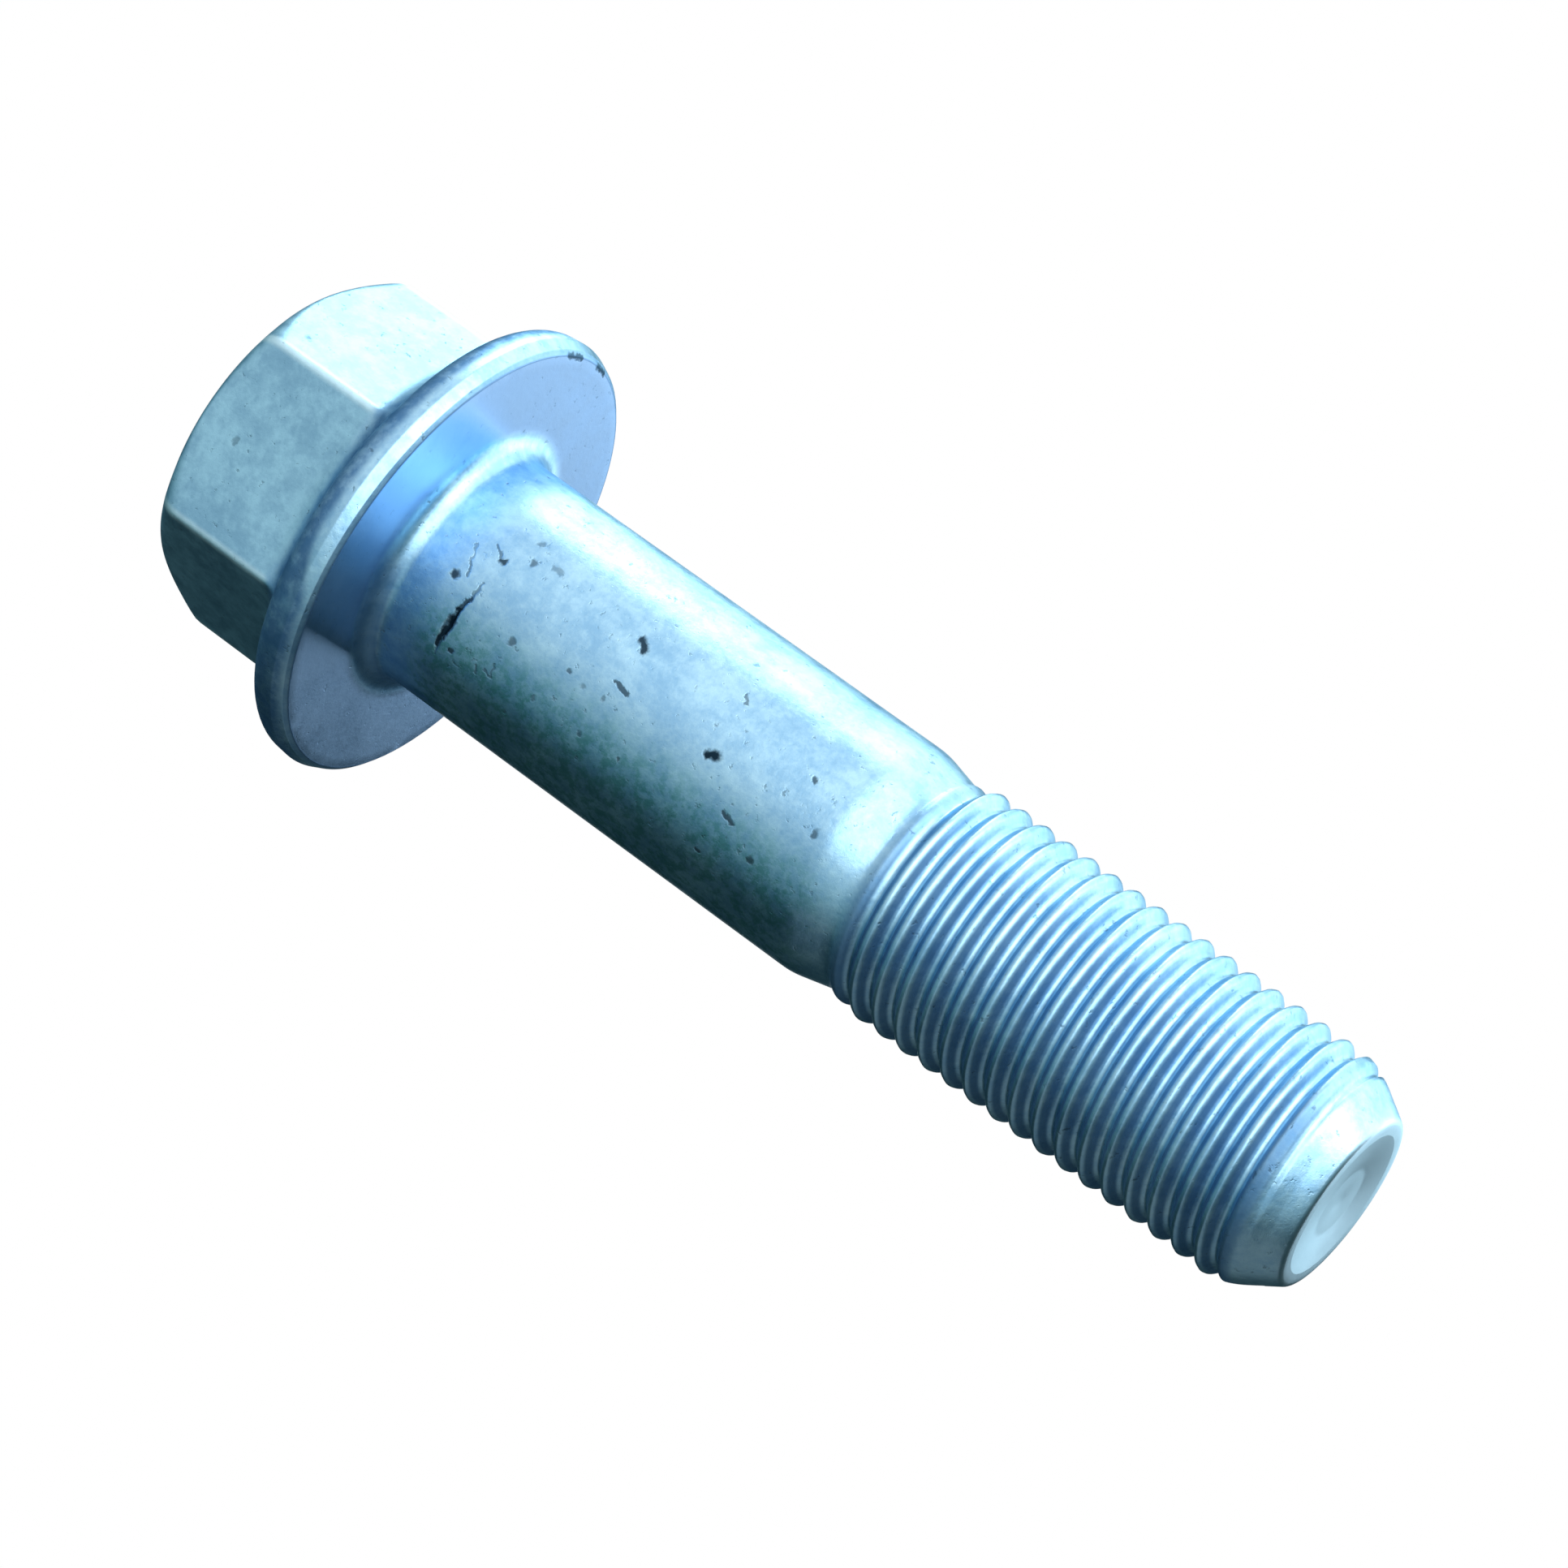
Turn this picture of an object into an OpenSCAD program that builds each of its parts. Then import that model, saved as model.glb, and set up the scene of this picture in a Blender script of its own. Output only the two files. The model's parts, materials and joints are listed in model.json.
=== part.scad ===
// Hexagon flange bolt with a partly threaded shank, forged and rolled in one piece.
// It stands on the top face of its head, with the axis along Z and the threaded end up.
// Lengths are in millimetres and angles in degrees.

/* [Head] */
// Distance across the flats of the hexagon
across_flats = 19; // [17:0.5:20]
// How far each sharp corner of the hexagon is cut back to its rounded edge
corner_cut = 0.1; // [0.05:0.05:0.6]
// Height of the head from its top face to the bearing face
head_height = 13.2; // [11.5:0.1:16]
// Diameter of the flat on top of the head, inside the chamfer
top_flat_d = 17.6; // [15:0.1:18.4]
// Slope of the chamfer on top of the head
top_chamfer_angle = 30; // [15:1:40]

/* [Flange] */
// Widest diameter of the flange
flange_d = 27.4; // [26:0.1:32]
// How far the edge of the bearing face lies inside the widest ring
rim_draft = 0.3; // [0.1:0.05:0.8]
// Height of the widest ring from the bearing face
rim_height = 1.5; // [0.8:0.1:2]
// Radius of the rim between its widest ring and the sloping back of the flange
rim_round = 1.1; // [0.6:0.1:1.4]
// Slope of the back of the flange
flange_slope = 25; // [15:1:35]
// Radius of the blend between the hexagon and the flange
neck_fillet = 1.8; // [0.6:0.1:2]
// Size of the broken edge round the bearing face
bearing_edge_break = 0.2; // [0.1:0.05:0.4]

/* [Shank] */
// Length from the bearing face to the threaded end
bolt_length = 60; // [45:1:110]
// Diameter of the plain shank
shank_d = 14; // [13:0.1:15]
// Radius of the fillet between the bearing face and the shank
under_head_fillet = 1.2; // [0.4:0.1:2]

/* [Thread] */
// Diameter over the crests of the thread
thread_d = 13.85; // [13:0.05:14.5]
// Distance from one turn of the thread to the next
thread_pitch = 1.5; // [1:0.25:2]
// Length from the threaded end to the end of the plain shank
threaded_length = 31; // [16:0.5:40]
// Length of the cone that leads from the plain shank down to the thread
shank_cone_length = 2.3; // [1:0.1:4]
// Angle at which the thread starts, counted from a corner of the hexagon
thread_start_angle = 150; // [0:5:355]
// Length over which the first turns rise to their full height
thread_rise_length = 2.5; // [1:0.1:6]
// Diameter of the flat on the threaded end
end_flat_d = 10.1; // [7:0.1:11]
// Angle between the axis and the chamfer on the threaded end
end_chamfer_angle = 33; // [20:1:45]
// Diameter of the shallow dish in the threaded end
end_dish_d = 8.4; // [3:0.1:9.4]
// Depth of the dish at its middle
end_dish_depth = 0.4; // [0.1:0.05:0.8]

/* [Hidden] */

// Facets round a turned surface, round the neck and round one turn of the thread
$fn = 128;
neck_steps = 120;
fillet_steps = 5;
rim_steps = 4;
turn_steps = 36;

// Angles of a quarter, a half and a whole turn
quarter_turn = 90;
half_turn = 180;
full_turn = 360;

// Hidden step between two forms that meet, and how far one is sunk into the other
seam = 0.02;
sink = 0.2;

// Hexagon
hex_corners = 6;
hex_sector = full_turn / hex_corners;
sharp_corner_r = across_flats / 2 / cos(hex_sector / 2);
corner_r = sharp_corner_r - corner_cut;

// Flange section: the rim's centre, and where its round runs into the sloping back
bearing_r = flange_d / 2 - rim_draft;
rim_z = head_height - rim_height;
rim_centre_r = flange_d / 2 - rim_round;
slope_top_r = rim_centre_r + rim_round * sin(flange_slope);
slope_top_z = rim_z - rim_round * cos(flange_slope);

// Height of the sloping back of the flange at a radius
function slope_z(r) = slope_top_z - (slope_top_r - r) * tan(flange_slope);

// Height at which the neck's fillet leaves a hexagon side of a given radius
function fillet_z(side_r) = slope_z(side_r + neck_fillet) - neck_fillet / cos(flange_slope);
neck_z = fillet_z(across_flats / 2) - sink;

// Shank and thread
end_z = head_height + bolt_length;
shank_end_z = end_z - threaded_length;
thread_z = shank_end_z + shank_cone_length;

// Ball that hollows out the dish in the threaded end
dish_ball_r = (pow(end_dish_d / 2, 2) + pow(end_dish_depth, 2)) / (2 * end_dish_depth);

// Profile of a metric thread: the slope of its flanks, and as shares of the pitch its depth,
// the width of its flat crest and the depth of its pitch line
flank_angle = 30;
depth_share = 0.613;
crest_share = 0.125;
pitch_line_share = 0.325;
thread_depth = depth_share * thread_pitch;
crest_half = crest_share * thread_pitch / 2;
flank_run = thread_depth * tan(flank_angle);
crest_r = thread_d / 2;
root_r = crest_r - thread_depth;
pitch_r = crest_r - pitch_line_share * thread_pitch;
PROFILE = [
    [-crest_half - flank_run, root_r],
    [-crest_half, crest_r],
    [crest_half, crest_r],
    [crest_half + flank_run, root_r]
];
profile_rows = len(PROFILE);

// Turns by which the thread's rows run past each of its ends before they are cut off
spare_turns = 2;

// Point at a radius, an angle and a height
function polar(r, angle, z) = [r * cos(angle), r * sin(angle), z];

// Radius of the hexagon's side at an angle from one of its corners
function side_r(angle) =
    let (from_flat = angle - hex_sector * floor(angle / hex_sector) - hex_sector / 2)
    min(across_flats / 2 / cos(from_flat), corner_r);

// Two triangles between neighbours on two rings of points
function quad(a, b, c, d) = [[a, c, b], [a, d, c]];

// Closed skin over a stack of rings that all have the same number of points
module ring_stack(rings) {
    count = len(rings[0]);
    last = (len(rings) - 1) * count;
    points = [for (ring = rings) each ring];
    sides = [
        for (j = [0 : len(rings) - 2], i = [0 : count - 1])
            let (next = (i + 1) % count)
            each quad(j * count + i, j * count + next, (j + 1) * count + next, (j + 1) * count + i)
    ];
    bottom = [[for (i = [0 : count - 1]) i]];
    top = [[for (i = [count - 1 : -1 : 0]) last + i]];
    polyhedron(points, concat(bottom, sides, top));
}

// Hexagon of the head, with its corners eased and its top edge chamfered by a cone
module hexagon() {
    cone_r = top_flat_d / 2 + neck_z / tan(top_chamfer_angle);
    intersection() {
        cylinder(h = neck_z, r = sharp_corner_r, $fn = hex_corners);
        cylinder(h = neck_z, r = corner_r);
        cylinder(h = neck_z, r1 = top_flat_d / 2, r2 = cone_r);
    }
}

// Section of the neck at one angle: up the hexagon's side, round the fillet, out along
// the sloping back of the flange and round the rim to its widest ring
function neck_section(angle) =
    let (
        side = side_r(angle) - seam,
        fillet_start = half_turn,
        fillet_end = quarter_turn + flange_slope,
        rim_start = flange_slope - quarter_turn
    ) concat(
        [[side, neck_z - sink]],
        [for (i = [0 : fillet_steps])
            let (turn = fillet_start + (fillet_end - fillet_start) * i / fillet_steps)
            [side + neck_fillet * (1 + cos(turn)), fillet_z(side) + neck_fillet * sin(turn)]],
        [for (i = [0 : rim_steps])
            let (turn = rim_start * (1 - i / rim_steps))
            [rim_centre_r - seam + rim_round * cos(turn), rim_z + rim_round * sin(turn)]],
        [[rim_centre_r - seam + rim_round, rim_z + sink]]
    );

// Blend from the hexagon to the round flange
module neck() {
    angles = [for (i = [0 : neck_steps - 1]) full_turn * i / neck_steps];
    sections = [for (angle = angles) neck_section(angle)];
    ring_stack([
        for (j = [0 : len(sections[0]) - 1])
            [for (i = [0 : neck_steps - 1]) polar(sections[i][j][0], angles[i], sections[i][j][1])]
    ]);
}

// Section of everything turned: the flange from its widest ring up, the fillet under the
// head, the plain shank and the cone down to the thread
module turned_section() {
    shank_r = shank_d / 2;
    polygon([
        [0, rim_z],
        [flange_d / 2, rim_z],
        [bearing_r, head_height - bearing_edge_break],
        [bearing_r - bearing_edge_break, head_height],
        [shank_r, head_height],
        [shank_r, shank_end_z],
        [pitch_r, thread_z],
        [0, thread_z]
    ]);
    difference() {
        translate([shank_r - sink, head_height - sink])
            square(under_head_fillet + sink);
        translate([shank_r + under_head_fillet, head_height + under_head_fillet])
            circle(r = under_head_fillet);
    }
}

// Height of a row of the thread's surface: the rows climb one pitch for each turn
function row_z(step, row) =
    let (turn = floor(row / profile_rows) - spare_turns + step / turn_steps)
    thread_z + turn * thread_pitch + PROFILE[row % profile_rows][0];

// Radius of the thread's surface: the first turns rise out of the cone, and the last run
// out into the chamfer
function row_r(row, z) =
    let (
        rise = min(1, (z - thread_z) / thread_rise_length),
        turned_r = pitch_r - seam + (PROFILE[row % profile_rows][1] - pitch_r + seam) * rise,
        chamfer_r = end_flat_d / 2 + (end_z - z) * tan(end_chamfer_angle)
    ) min(turned_r, chamfer_r);

// Threaded end: one helical skin, cut off square at both ends
module thread() {
    start_z = thread_z + seam;
    row_count = profile_rows * ceil((end_z - thread_z) / thread_pitch + 2 * spare_turns);
    rows = [0 : row_count - 1];
    steps = [0 : turn_steps - 1];
    inside = [
        for (i = steps)
            [for (m = rows) if (row_z(i, m) > start_z + seam && row_z(i, m) < end_z - seam) m]
    ];
    first = [for (i = steps) inside[i][0] - 1];
    last = [for (i = steps) inside[i][len(inside[i]) - 1] + 1];
    grid = [
        for (i = steps, m = rows)
            let (angle = full_turn * i / turn_steps, z = row_z(i, m))
            m <= first[i] ? polar(pitch_r - seam, angle, start_z)
                : m >= last[i] ? polar(end_flat_d / 2, angle, end_z)
                : polar(row_r(m, z), angle, z)
    ];
    base = [for (i = steps) polar(pitch_r - seam, full_turn * i / turn_steps, thread_z - sink)];
    // Rows beyond either end all share that end's ring
    function id(i, m) =
        i == turn_steps ? id(0, m + profile_rows) : i * row_count + max(first[i], min(last[i], m));
    function base_id(i) = turn_steps * row_count + i % turn_steps;
    skin = [
        for (i = steps, m = rows, face = quad(id(i, m), id(i + 1, m), id(i + 1, m + 1), id(i, m + 1)))
            if (face[0] != face[1] && face[1] != face[2] && face[2] != face[0]) face
    ];
    foot = [for (i = steps) each quad(base_id(i), base_id(i + 1), id(i + 1, 0), id(i, 0))];
    bottom = [[for (i = steps) base_id(i)]];
    top = [[for (i = [turn_steps - 1 : -1 : 0]) id(i, row_count)]];
    polyhedron(concat(grid, base), concat(bottom, foot, skin, top));
}

// Shallow dish that forging leaves in the threaded end
module end_dish() {
    translate([0, 0, end_z - end_dish_depth + dish_ball_r])
        sphere(r = dish_ball_r);
}

// The whole bolt
module flange_bolt() {
    color("#8fb6cc")
    difference() {
        union() {
            hexagon();
            neck();
            rotate_extrude()
                turned_section();
            rotate(thread_start_angle)
                thread();
        }
        end_dish();
    }
}

flange_bolt();
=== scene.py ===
"""Looks of the hexagon flange bolt: one detailed mesh over its CAD node, the plating, a pale floor and light.

The bolt stands on its head, with its axis along +Z. Lengths are in millimetres until a mesh is made."""

import json
import math
from types import SimpleNamespace

import bpy
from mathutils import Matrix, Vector, noise


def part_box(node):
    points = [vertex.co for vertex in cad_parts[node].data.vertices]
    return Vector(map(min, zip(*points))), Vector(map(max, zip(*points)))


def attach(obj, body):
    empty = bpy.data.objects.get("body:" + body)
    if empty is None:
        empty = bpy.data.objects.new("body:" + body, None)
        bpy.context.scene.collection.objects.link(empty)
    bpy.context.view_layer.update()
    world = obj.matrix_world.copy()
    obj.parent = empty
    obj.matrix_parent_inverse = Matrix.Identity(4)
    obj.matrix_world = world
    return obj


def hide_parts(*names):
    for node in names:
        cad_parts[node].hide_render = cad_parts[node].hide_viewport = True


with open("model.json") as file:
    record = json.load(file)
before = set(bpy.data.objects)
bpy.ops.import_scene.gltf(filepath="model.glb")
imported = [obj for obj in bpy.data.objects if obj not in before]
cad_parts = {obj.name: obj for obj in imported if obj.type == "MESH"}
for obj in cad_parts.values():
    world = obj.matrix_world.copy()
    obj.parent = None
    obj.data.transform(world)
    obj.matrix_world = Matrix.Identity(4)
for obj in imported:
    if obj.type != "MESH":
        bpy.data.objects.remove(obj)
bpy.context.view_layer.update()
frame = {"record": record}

MM = 0.001

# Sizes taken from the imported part
mounts = {mount["name"]: mount for mount in frame["record"]["mounts"]}
low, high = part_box("flange_bolt")
FLANGE_R = (high[0] - low[0]) / 2 / MM
END_Z = high[2] / MM
HEAD_HEIGHT = mounts["bearing_face"]["pos_m"][2] / MM
SHANK_R = mounts["shank"]["dims"]["r_mm"]
CREST_R = mounts["thread"]["dims"]["r_mm"]
THREAD_Z = END_Z - mounts["thread"]["dims"]["length_mm"]
SHANK_END_Z = mounts["shank"]["pos_m"][2] / MM + mounts["shank"]["dims"]["length_mm"] / 2

# Hexagon
ACROSS_FLATS = 19.0
HEX_SIDES = 6
SECTOR = math.radians(60)
CORNER_CUT = 0.06
CORNER_R = ACROSS_FLATS / 2 / math.cos(SECTOR / 2) - CORNER_CUT
CORNER_EASE = 0.05
TOP_FLAT_R = 8.8
TOP_CHAMFER = math.radians(30)
LEAST_CHAMFER = 0.05
TOP_EDGE = 0.3
SIDE_EDGE = 0.35
SIDE_EDGE_GROWTH = 1.1
NECK_FILLET = 1.8

# Flange: its back, the round rim, the drafted band under it and the broken edge of the bearing face
FLANGE_SLOPE = math.radians(25)
RIM_Z = HEAD_HEIGHT - 1.5
RIM_ROUND = 1.1
RIM_INSET = 0.12
RIM_DRAFT = 0.3
BAND_HEIGHT = 0.85
BAND_ROUND = 0.3
EDGE_HEIGHT = 0.22
EDGE_WIDTH = 0.28
EDGE_ROUND = 0.08

# Shank, with the heights over the bearing face between which the mesh is fine enough for the gouge
UNDER_HEAD_FILLET = 1.2
SHANK_END_ROUND = 5.0
GOUGE_BAND = (3.9, 5.2)
GOUGE_STEP = math.radians(0.8)

# Steps of the mesh between one corner and the next, on the turned section and on the end
SECTION_STEPS = [6, 3, 10, 3, 1, 2, 1, 8, 6, 18, 46, 4]
END_STEPS = [2, 2, 5, 4]

# How much the larger faces count in the shading
NORMAL_WEIGHT = 60

# Thread
PITCH = 1.5
THREAD_DEPTH = 0.46 * PITCH
PITCH_R = CREST_R - 0.325 * PITCH
THREAD_START = math.radians(150)
THREAD_RISE = 1.6
SPARE_TURNS = 3
ROW_GAP = 0.06

# Places of the thread's rows, as shares of the pitch from the middle of a crest
THREAD_ROWS = [-0.5, -0.43, -0.34, -0.22, -0.1, 0.0, 0.08, 0.17, 0.28, 0.4]

# Threaded end and its dish
END_FLAT_R = 5.05
END_CHAMFER = math.radians(33)
END_LEAD = 0.8
END_EDGE = 0.45
END_DISH = 0.25
DISH_EDGE_R = 0.84 * END_FLAT_R
DISH_EDGE_ROUND = 0.6
DISH_FLOOR_R = 0.4 * END_FLAT_R
DISH_FLOOR_DEPTH = 0.75 * END_DISH
DISH_FLOOR_ROUND = 6

# Forging ripple and wear on the head, the shank and the thread: depth, and width of its bumps
HEAD_RIPPLE = (0.05, 4.0)
SHANK_RIPPLE = (0.012, 3.0)
THREAD_RIPPLE = (0.03, 1.5)
BEARING_MARGIN = 0.1
SHANK_MARGIN = 0.01

# Gouge on the near side of the shank: angle from the view, height over the bearing face, half width, depth
GOUGE = [
    (0, 5.06, 0.08, 0.0), (8, 4.90, 0.12, 0.06), (15.5, 4.69, 0.15, 0.12), (20, 4.61, 0.20, 0.16),
    (24, 4.54, 0.32, 0.24), (28, 4.47, 0.22, 0.18), (32, 4.40, 0.15, 0.12), (36, 4.37, 0.12, 0.08),
    (39, 4.36, 0.08, 0.0),
]

# How wide the gouge is drawn, and how dark it is at no depth and for each millimetre
GOUGE_WIDTH = 0.45
GOUGE_DARK = 0.5
GOUGE_DARKENING = 6

# Pits and nicks in the plating: angle and height of both ends, half width and darkness
NICKS = [
    (-12.5, 3.35, -5, 3.75, 0.07, 0.4), (-5, 3.75, 1, 4.05, 0.09, 0.55),
    (3.5, 3.4, 3.5, 3.45, 0.24, 0.9), (-17.5, 4.35, -13, 5.15, 0.09, 0.6),
    (-13.5, 5.0, -12.5, 5.2, 0.20, 0.9), (-30, 6.05, -29, 6.05, 0.20, 0.5),
    (-21, 6.4, -20, 6.55, 0.18, 0.65), (-24.5, 7.6, -24.5, 7.95, 0.17, 0.45),
    (13, 8.2, 13, 8.3, 0.23, 0.65), (33.5, 5.2, 33.5, 5.3, 0.15, 0.85),
    (32, 6.95, 35.5, 7.1, 0.08, 0.55), (31, 7.55, 32, 8.05, 0.08, 0.5),
    (32, 8.05, 26, 8.0, 0.07, 0.45), (8.5, 11.8, 8.5, 11.9, 0.13, 0.65),
    (10.5, 12.9, 10.5, 13.1, 0.17, 0.4), (10, 14.2, 10, 14.4, 0.14, 0.5),
    (28.5, 10.7, 28.5, 10.9, 0.16, 0.45), (-21, 14.0, -17.5, 14.5, 0.22, 0.95),
    (0.5, 14.35, 2, 15.2, 0.10, 0.8), (-29, 20.3, -24.5, 20.7, 0.11, 0.65),
    (2.5, 20.85, 1, 21.3, 0.25, 1.0), (28, 16.6, 28, 16.8, 0.13, 0.65),
    (29, 13.9, 29, 14.1, 0.15, 0.55), (19, 23.25, 21, 23.9, 0.13, 0.8),
    (42, 22.7, 42, 22.9, 0.14, 0.85), (30, 25.6, 30, 25.9, 0.20, 0.75),
    (3.5, 28.0, 3.5, 28.2, 0.22, 0.7), (-15, 26.2, -15, 26.4, 0.14, 0.8),
    (-30, 24.5, -30, 24.7, 0.10, 0.45), (-44.5, 19.3, -44.5, 19.5, 0.12, 0.4),
]

# Nicks on the head: angles of both ends, radius, height over the bearing face, half width and darkness
HEAD_NICKS = [
    (-73, -80, 13.1, -0.03, 0.15, 0.75), (-90, -95, 13.1, -0.03, 0.17, 0.8),
    (8, 10.5, 9.5, -10.3, 0.12, 0.4), (-30, -31, 10.2, -10.7, 0.14, 0.4),
    (-4, -5, 9.6, -8.7, 0.1, 0.3),
]

# Half widths within which a nick is fully dark, and beyond which it is gone on the shank and on the head
NICK_CORE = 0.5
NICK_REACH = 1.6
HEAD_NICK_REACH = 1.8
SHORT_STROKE = 0.35

# Textures of the plating: scale in bumps a millimetre, detail and roughness
CLOUD = (0.33, 4, 0.55)
GRAIN = (3.2, 4, 0.7)
MOTTLE = (1.3, 3, 0.6)
FLECKS = (1.9, 3, 0.65)
NECK_PATCHES = (0.9, 4, 0.65)
# Patches of the teal painted shade
TEAL_SHADE_PATCHES = (1.5, 4, 0.7)
WOBBLE_SCALE = 2.6
WOBBLE = 0.5

# Specks and flecks: spacing, chance and size, the levels that a fleck starts from, and darkness
SPECK_SCALE = 0.42
SPECK_CHANCE = (0.6, 1.0)
SPECK_SIZE = 0.07
SPECK_SOFTNESS = 0.05
SPECK_DARK = 0.56
FLECK_LEVELS = (0.62, 0.74)
FLECK_DARK = 0.45

# Heights between which the parts of the plating start or end
HEXAGON_END_Z = (8.4, 9.0)
NECK_START_Z = (8.6, 9.6)
NECK_END_Z = (11.5, 12.1)
EDGE_Z = (HEAD_HEIGHT - 0.26, HEAD_HEIGHT - 0.18)
BEARING_Z = (HEAD_HEIGHT - 0.06, HEAD_HEIGHT - 0.01)
FILLET_Z = (HEAD_HEIGHT - 0.05, HEAD_HEIGHT)
# The next two are the heights of the teal painted shade on the shank
TEAL_SHADE_START_Z = (HEAD_HEIGHT + 2.0, HEAD_HEIGHT + 4.0)
TEAL_SHADE_END_Z = (SHANK_END_Z - 1.0, THREAD_Z)
FLANK_START_Z = (THREAD_Z - 0.2, THREAD_Z + 1.0)
FLANK_END_Z = (END_Z - 2.6, END_Z - 1.8)
END_FACE_Z = (END_Z - 0.7, END_Z - 0.5)

# Radii between which they start or end
END_FACE_R = (4.9, 5.3)
FLANK_START_R = (6.30, 6.46)
FLANK_END_R = (6.66, 6.86)
FILLET_START_R = (7.02, 7.15)
FILLET_END_R = (7.9, 8.5)
BEARING_R = (7.9, 8.6)
EDGE_R = (13.0, 13.1)

# Distances across the view between which the painted shade and the teal painted shade start on the side away
# from the light, and how far the painted shade then climbs the rim
FLANK_ASIDE = (-5.2, -1.8)
FILLET_ASIDE = (0.0, 3.0)
TEAL_SHADE_ASIDE = (0.8, 4.0)
RIM_ASIDE = (2.5, 7.0)
RIM_CLIMB = 1.0

# Levels of a texture that the painted shade in the neck and the teal painted shade follow, and how strong
# they are
NECK_LEVELS = (0.3, 0.62)
TEAL_SHADE_LEVELS = (0.42, 0.62)
NECK_LEAST = 0.6
FLANK_LEAST = 0.3
# Strengths of the painted shade on the flanks and in the fillet, and of the darker band on the bearing's edge
FLANK_SHADE = 0.85
FILLET_SHADE = 0.8
EDGE_DARKENING = 0.55
# Strength of the teal painted shade
TEAL_SHADE = 0.7
# Strength of the painted shade
SHADE_STRENGTH = 0.85
BEARING_TINT = 0.85
BEARING_CLEAN = 0.6

# Worn corners of the hexagon, lighter as a painted highlight: radius that their width is taken at, the width
# and the strength
CORNER_AT_R = 11
CORNER_WIDTH = (0.1, 0.45)
CORNER_WEAR_AND_SHEEN = 0.65

# Colours of the plating, from dark to light on the shank and on the duller hexagon, of what lies on it, of
# the painted highlight on the worn corners and of the painted shade
SHANK_COLOURS = ((0.30, 0.56, 0.82, 1), (0.49, 0.77, 0.96, 1))
HEXAGON_COLOURS = ((0.27, 0.50, 0.68, 1), (0.41, 0.70, 0.87, 1))
# Light colour of the worn corners, a painted highlight
CORNER_WEAR_AND_SHEEN_COLOUR = (0.72, 0.93, 1.0, 1)
BEARING_COLOUR = (0.29, 0.45, 0.74, 1)
# Teal colour of the painted shade on the shank
TEAL_SHADE_COLOUR = (0.13, 0.42, 0.42, 1)
END_COLOUR = (0.62, 0.84, 1.0, 1)
# Colour of the painted shade
SHADE_COLOUR = (0.045, 0.15, 0.33, 1)
MARK_COLOUR = (0.012, 0.03, 0.05, 1)
SPECULAR_TINT = (0.45, 0.6, 0.65, 1)

# Shares of the textures in the tone, and the tones between which the colour and the roughness change
CLOUD_TONE = 0.45
GRAIN_TONE = 0.25
MOTTLE_TONE = 0.3
COLOUR_TONES = (0.36, 0.64)
ROUGH_TONES = (0.3, 0.7)

# Roughness of the plating, and what the hexagon, the worn corners and the painted shade add to it
ROUGHNESS = (0.285, 0.36)
HEXAGON_ROUGH = 0.1
CORNER_ROUGH = 0.12
SHADE_ROUGH = 0.2

# Unevenness: shares of the textures, the least share on the clean faces, and how much of it shows
GRAIN_HEIGHT = 0.5
CLOUD_HEIGHT = 0.8
CLEAN_UNEVEN = 0.1
BUMP_STRENGTH = 0.45
BUMP_DISTANCE = 0.00006

# Camera, found from the outline of the flange, the end face and the thread in the photograph
CAMERA_AZIMUTH = math.radians(-97.7)
CAMERA_REACH = 279.85
CAMERA_ASIDE = -0.73
CAMERA_HEIGHT = 137.63
CAMERA_PITCH = math.radians(19.99)
CAMERA_ROLL = math.radians(125.79)
CAMERA_ANGLE = math.radians(15.73)
CAMERA_CLIP = 0.01
TOWARDS_CAMERA = Vector((math.cos(CAMERA_AZIMUTH), math.sin(CAMERA_AZIMUTH), 0))
UP = Vector((0, 0, 1))
ASIDE = UP.cross(TOWARDS_CAMERA)
AHEAD = -math.cos(CAMERA_PITCH) * TOWARDS_CAMERA - math.sin(CAMERA_PITCH) * UP

# Plinth that the bolt stands on
PLINTH_R = 8.6
PLINTH_SIDES = 96
PLINTH_COLOUR = (0.9, 0.9, 0.9, 1)
PLINTH_ROUGHNESS = 0.9
PLINTH_SPECULAR = 0.1

# Soft lamps: azimuth from the camera, elevation, distance, width, height, radiance and height aimed at
AIM = 30
SOFTBOXES = {
    "key": (-102, 44, 600, 1550, 330, 1.45, AIM),
    "front": (-34, 27, 330, 594, 430, 1.4, AIM),
    "front_edge": (36, 30, 400, 260, 400, 0.24, AIM),
    "side_low": (-115, 0, 250, 320, 80, 3.8, -135),
    "side": (-115, 0, 250, 320, 100, 1.6, -45),
    "side_high": (-115, 0, 250, 320, 200, 1.2, 105),
    "back": (-160, 0, 400, 295, 315, 1.75, 202),
    "far": (100, 22, 420, 700, 300, 0.16, AIM),
}

# Room light: its slope along the view, across it and upwards, its level, and its colours from dark to light
ROOM_TILT = (0.42, -0.43, -0.15)
ROOM_LEVEL = 0.36
ROOM_TOP = 1.6
ROOM_COLOURS = [
    (0.0, (0.018, 0.04, 0.04)),
    (0.06, (0.032, 0.08, 0.085)),
    (0.19, (0.13, 0.25, 0.26)),
    (0.31, (0.34, 0.46, 0.48)),
    (0.5, (0.76, 0.81, 0.82)),
    (1.0, (1.6, 1.6, 1.6)),
]

# White surround behind the bolt: angles from the view's direction at which it starts and is full
WHITE_START = math.radians(13)
WHITE_FULL = math.radians(11.4)
WHITE_COLOURS = [(0, (0, 0, 0)), (1, (1, 1, 1))]


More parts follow.
